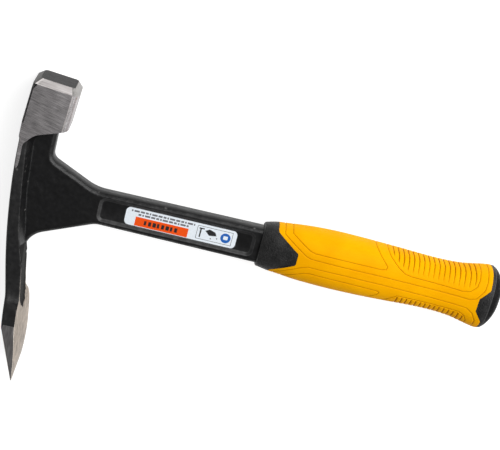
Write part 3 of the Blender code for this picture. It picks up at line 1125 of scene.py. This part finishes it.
def black_plastic(name, dark, light, specular=0.4):
    """Matt black moulding with a pebbled grain; its sharper edges are lighter, partly worn and partly painted
    highlight.
    """
    recipe = Recipe(name, specular=specular)
    grain = recipe.noise(1500.0, 3.0)
    cloud = recipe.noise(180.0, 2.0)
    edge = recipe.remap(recipe.pointiness(), 0.52, 0.6)
    half_cloud = recipe.maths('MULTIPLY', cloud, 0.5)
    half_grain = recipe.maths('MULTIPLY', grain, 0.5)
    mottled = recipe.maths('ADD', half_cloud, half_grain)
    body = recipe.mix(recipe.remap(mottled, 0.4, 0.62), dark, light)
    # Sharper edges lighter: partly wear, partly painted highlight.
    recipe.set("Base Color", recipe.mix(edge, body, (0.035, 0.034, 0.034)))
    recipe.set("Roughness", recipe.remap(grain, 0.3, 0.7, 0.42, 0.6))
    recipe.set("Normal", recipe.bump(grain, 0.00045, 0.9))
    return recipe.material


def printed(name, color, roughness=0.42):
    """Ink or film, with the faint mottle of a printed sticker."""
    recipe = Recipe(name, specular=0.35)
    mottle = recipe.noise(900.0, 3.0)
    darker = tuple(c * 0.93 for c in color)
    recipe.set("Base Color", recipe.mix(recipe.remap(mottle, 0.3, 0.7), darker, color))
    recipe.set("Roughness", recipe.remap(mottle, 0.3, 0.7, roughness - 0.06, roughness + 0.08))
    recipe.set("Normal", recipe.bump(recipe.noise(220.0, 2.0), 0.0001, 0.3))
    return recipe.material


def forge_scale():
    """Dull dark skin left between the ground edges of the blade."""
    recipe = Recipe('forge_scale', specular=0.14)
    patches = recipe.noise(500.0, 4.0)
    share = recipe.remap(patches, 0.35, 0.65)
    shade = recipe.mix(share, (0.006, 0.0058, 0.0056), (0.014, 0.0132, 0.0126))
    recipe.set("Base Color", shade)
    recipe.set("Roughness", recipe.remap(patches, 0.3, 0.7, 0.7, 0.9))
    recipe.set("Normal", recipe.bump(patches, 0.0003, 0.6))
    return recipe.material


def forging_materials():
    """Materials in slot order.

    The face and side chamfers are darker than bare steel, to match how they look from the camera. This is
    painted shade: a painted dark reflection on the striking face, and the hammer's shadow on the floor
    painted into the side chamfers.
    """
    warm_dark = (0.09, 0.073, 0.058)
    warm_light = (0.56, 0.475, 0.395)
    return [
        enamel('black_enamel', (0.0035, 0.0035, 0.0038), (0.0055, 0.0055, 0.0059), 0.02),
        ground_steel('poll_side_steel', (0.26, 0.245, 0.25), (0.8, 0.765, 0.77), 0.38, 'X',
                     turn=13.0, lines=8000.0),
        ground_steel('near_chamfer_steel', (0.68, 0.635, 0.62), (0.98, 0.94, 0.925), 0.42, 'X',
                     turn=4.6, lines=1800.0),
        # Side chamfer: painted shade. Its darker colour and dimmed glance stand in for the shaded floor it
        # reflects.
        ground_steel('side_chamfer_steel_painted_shade', (0.09, 0.087, 0.085), (0.19, 0.185, 0.18), 0.42, 'Z', glance=0.62),
        # Striking face: painted dark reflection, a near-black colour and dimmed glance on ground steel.
        ground_steel('face_steel_painted_dark_reflection', (0.02, 0.02, 0.02), (0.045, 0.0445, 0.044), 0.35, 'X', glance=0.65),
        # Poll end: its glance below 1 is painted shade at flat angles.
        ground_steel('poll_end_steel', (0.27, 0.26, 0.25), (0.5, 0.485, 0.47), 0.42, 'Y', glance=0.8),
        ground_steel('blade_inner_steel', warm_dark, warm_light, 0.5, 'Y'),
        ground_steel('blade_side_steel', (0.21, 0.2, 0.2), (0.44, 0.425, 0.425), 0.4, 'Y'),
        ground_steel('blade_bevel_steel', (0.6, 0.58, 0.57), (0.95, 0.925, 0.91), 0.4, 'Y'),
        # Blade corner bevels: brighter steel as a painted edge highlight.
        ground_steel('blade_edge_steel_painted_highlight', (0.5, 0.45, 0.4), (0.85, 0.78, 0.7), 0.5, 'Y'),
        forge_scale(),
        enamel('head_enamel', (0.008, 0.008, 0.0085), (0.015, 0.0148, 0.015), 0.1),
        # Pocket walls: the black enamel made lighter, a painted highlight.
        enamel('wall_enamel_painted_highlight', (0.024, 0.024, 0.0245), (0.042, 0.0415, 0.042), 0.05),
        ground_steel('worn_edge_steel', (0.13, 0.105, 0.1), (0.3, 0.25, 0.235), 0.55, 'Y'),
    ]


def core_materials():
    return [
        black_plastic('black_moulding', (0.002, 0.002, 0.0021), (0.022, 0.0213, 0.0215)),
        # Lip and bead: lighter black, a painted highlight.
        black_plastic('black_bead_painted_highlight', (0.02, 0.02, 0.0205), (0.045, 0.0445, 0.0445)),
        black_plastic('black_end', (0.002, 0.002, 0.0022), (0.006, 0.006, 0.006), 0.12),
    ]


def label_materials():
    return [
        printed('label_film', (0.86, 0.92, 0.98)),
        printed('label_orange', (0.95, 0.09, 0.0015)),
        printed('label_black', (0.02, 0.02, 0.022)),
        printed('label_blue', (0.012, 0.13, 0.5)),
        printed('label_grey', (0.16, 0.16, 0.18)),
    ]


# ---------------------------------------------------------------- scene

def add_piece(item, node=None):
    item.data.transform(PLACE)
    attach(item, "root")
    if node:
        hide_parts(node)


def build_stage():
    size = 6.0
    points = [(-size, -size, 0), (size, -size, 0), (size, size, 0), (-size, size, 0)]
    recipe = Recipe('floor_paper', specular=0.1)
    recipe.set("Base Color", (0.42, 0.42, 0.42))
    recipe.set("Roughness", 0.9)
    recipe.set("Emission Color", (1.0, 1.0, 1.0))
    recipe.set("Emission Strength", 0.82)
    points = [tuple(c / MM for c in p) for p in points]
    mesh_object('floor', points, [(0, 1, 2, 3)], [0], [recipe.material])


def add_light(name, kind, energy, size, location, target):
    data = bpy.data.lights.new(name, kind)
    data.energy = energy
    data.shape = 'RECTANGLE'
    data.size, data.size_y = size
    light = bpy.data.objects.new(name, data)
    bpy.context.scene.collection.objects.link(light)
    light.location = location
    aim = Vector(target) - Vector(location)
    light.rotation_euler = aim.to_track_quat('-Z', 'Y').to_euler()


def build_light():
    world = bpy.data.worlds.new('studio')
    world.use_nodes = True
    background = world.node_tree.nodes["Background"]
    background.inputs["Color"].default_value = (1.0, 1.0, 1.0, 1.0)
    background.inputs["Strength"].default_value = 0.2
    bpy.context.scene.world = world
    add_light('key', 'AREA', 26.0, (1.3, 1.3), (0.7, 0.85, 1.2), (0, 0, 0))
    add_light('side', 'AREA', 5.0, (0.8, 0.8), (1.2, 0.1, 0.85), (0, 0, 0))
    bpy.context.scene.view_settings.view_transform = 'Standard'


# Camera: place in the design frame in millimetres, and its right and down directions. They are
# the rounded result of a least-squares fit of the camera to the hammer's outline.
CAMERA_PLACE = (54.05, 262.31, 717.05)
CAMERA_RIGHT = (0.96918, 0.24628, 0.00570)
CAMERA_DOWN = (0.22945, -0.91088, 0.34302)
CAMERA_LENS = 97.15


def build_camera():
    data = bpy.data.cameras.new('camera')
    data.lens = CAMERA_LENS
    data.sensor_width = 36.0
    camera = bpy.data.objects.new('camera', data)
    bpy.context.scene.collection.objects.link(camera)
    right = Vector(CAMERA_RIGHT).normalized()
    up = -Vector(CAMERA_DOWN)
    up = (up - right * up.dot(right)).normalized()
    back = right.cross(up)
    turn = Matrix((right, up, back)).transposed().to_4x4()
    place = Matrix.Translation(Vector(CAMERA_PLACE) * MM) @ turn
    camera.matrix_world = PLACE @ place
    bpy.context.scene.camera = camera


def main():
    label_inks = label_materials()
    add_piece(build_forging(forging_materials()), "forged_body")
    add_piece(build_cover([yellow_rubber()]), "grip_cover")
    add_piece(build_core(core_materials()), "grip_core")
    add_piece(build_label(label_inks), "shaft_label")
    add_piece(build_print(label_inks))
    build_stage()
    build_light()
    build_camera()


main()
